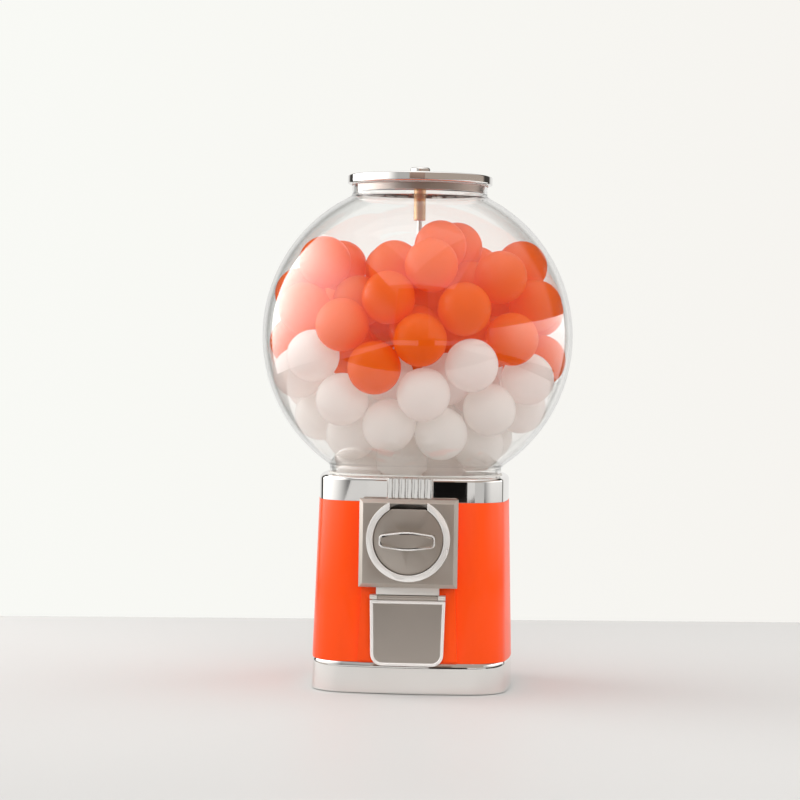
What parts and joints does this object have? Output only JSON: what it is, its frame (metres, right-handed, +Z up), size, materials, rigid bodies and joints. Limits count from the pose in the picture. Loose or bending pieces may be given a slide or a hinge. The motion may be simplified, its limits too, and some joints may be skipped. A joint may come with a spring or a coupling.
{
  "type": "gumball machine",
  "caption": "Table-top gumball machine with a clear globe on a square tapered body, a turning coin handle on the front and a hinged flap over the outlet.",
  "frame": {"origin": "on the table under the centre rod", "axes": "+Z up along the centre rod, -Y towards the front with the coin handle, +X to the right seen from the front"},
  "size_m": [0.2484, 0.2484, 0.4129],
  "materials": {
    "black_rubber": "matt moulded",
    "zinc_steel": "zinc plated",
    "chrome": "polished chrome plate",
    "black_plastic": "moulded",
    "bright_steel": "drawn bright",
    "orange_enamel": "gloss enamel",
    "white_seal": "soft white",
    "clear_globe": "clear polished",
    "lock_brass": "turned",
    "white_nylon": "moulded",
    "orange_gum": "satin",
    "white_gum": "satin",
    "pewter": "satin cast",
    "polished_zinc": "polished cast",
    "zinc_casting": "as cast",
    "flap_steel": "polished"
  },
  "bodies": {
    "housing": {"ball_guard": "zinc_steel", "base_plate": "zinc_steel", "base_screws": "zinc_steel", "base_skirt": "chrome", "body_shell": "orange_enamel", "center_rod": "bright_steel", "chute": "black_plastic", "chute_frame": "pewter", "chute_screws": "zinc_steel", "coin_guide": "zinc_steel", "coin_plate": "pewter", "coin_tray": "black_plastic", "collar": "chrome", "dial_ring": "polished_zinc", "flap_pin": "bright_steel", "globe": "clear_globe", "globe_gasket": "white_seal", "hopper_pan": "zinc_steel", "hopper_screws": "zinc_steel", "mech_housing": "zinc_casting", "mech_screws": "zinc_steel", "orange_balls": "orange_gum", "pawl_pin": "bright_steel", "pawl_spring": "bright_steel", "rod_nut": "zinc_steel", "rod_washer": "zinc_steel", "rubber_feet": "black_rubber", "spindle_bush": "lock_brass", "white_balls": "white_gum"},
    "coin_dial": {"dial_knob": "pewter", "spindle": "bright_steel", "coin_carrier": "pewter", "ratchet_wheel": "bright_steel", "drive_pinion": "white_nylon", "spindle_clip": "bright_steel"},
    "wheel": {"dispensing_wheel": "white_nylon", "wheel_bush": "lock_brass", "pocket_balls": "orange_gum"},
    "flap": {"flap": "flap_steel"},
    "lid": {"lid": "chrome", "lid_gasket": "white_seal", "lock_body": "chrome", "lock_nut": "zinc_steel"},
    "lock": {"lock_plug": "bright_steel", "lock_tube": "lock_brass"},
    "pawl": {"ratchet_pawl": "bright_steel"}
  },
  "joints": [
    {"name": "handle_turn", "type": "hinge", "parent": "housing", "child": "coin_dial", "pos_m": [0, -0.09, 0.1204], "axis": [0, 1, 0], "continuous": true},
    {"name": "wheel_turn", "type": "hinge", "parent": "housing", "child": "wheel", "pos_m": [0, 0, 0.117], "axis": [0, 0, 1], "continuous": true},
    {"name": "flap_swing", "type": "hinge", "parent": "housing", "child": "flap", "pos_m": [0, -0.0846, 0.0756], "axis": [-1, 0, 0], "range_deg": [0, 85]},
    {"name": "lid_lift", "type": "slide", "parent": "housing", "child": "lid", "axis": [0, 0, 1], "range_m": [0, 0.12]},
    {"name": "lock_turn", "type": "hinge", "parent": "lid", "child": "lock", "pos_m": [0, 0, 0.4], "axis": [0, 0, 1], "range_deg": [0, 90]},
    {"name": "pawl_rock", "type": "hinge", "parent": "housing", "child": "pawl", "pos_m": [-0.02858, -0.07, 0.1369], "axis": [0, -1, 0], "range_deg": [0, 5], "stiffness_Nm_per_rad": 0.004}
  ],
  "couplings": [
    {"joint": "wheel_turn", "follows": "handle_turn", "ratio": 0.25}
  ]
}
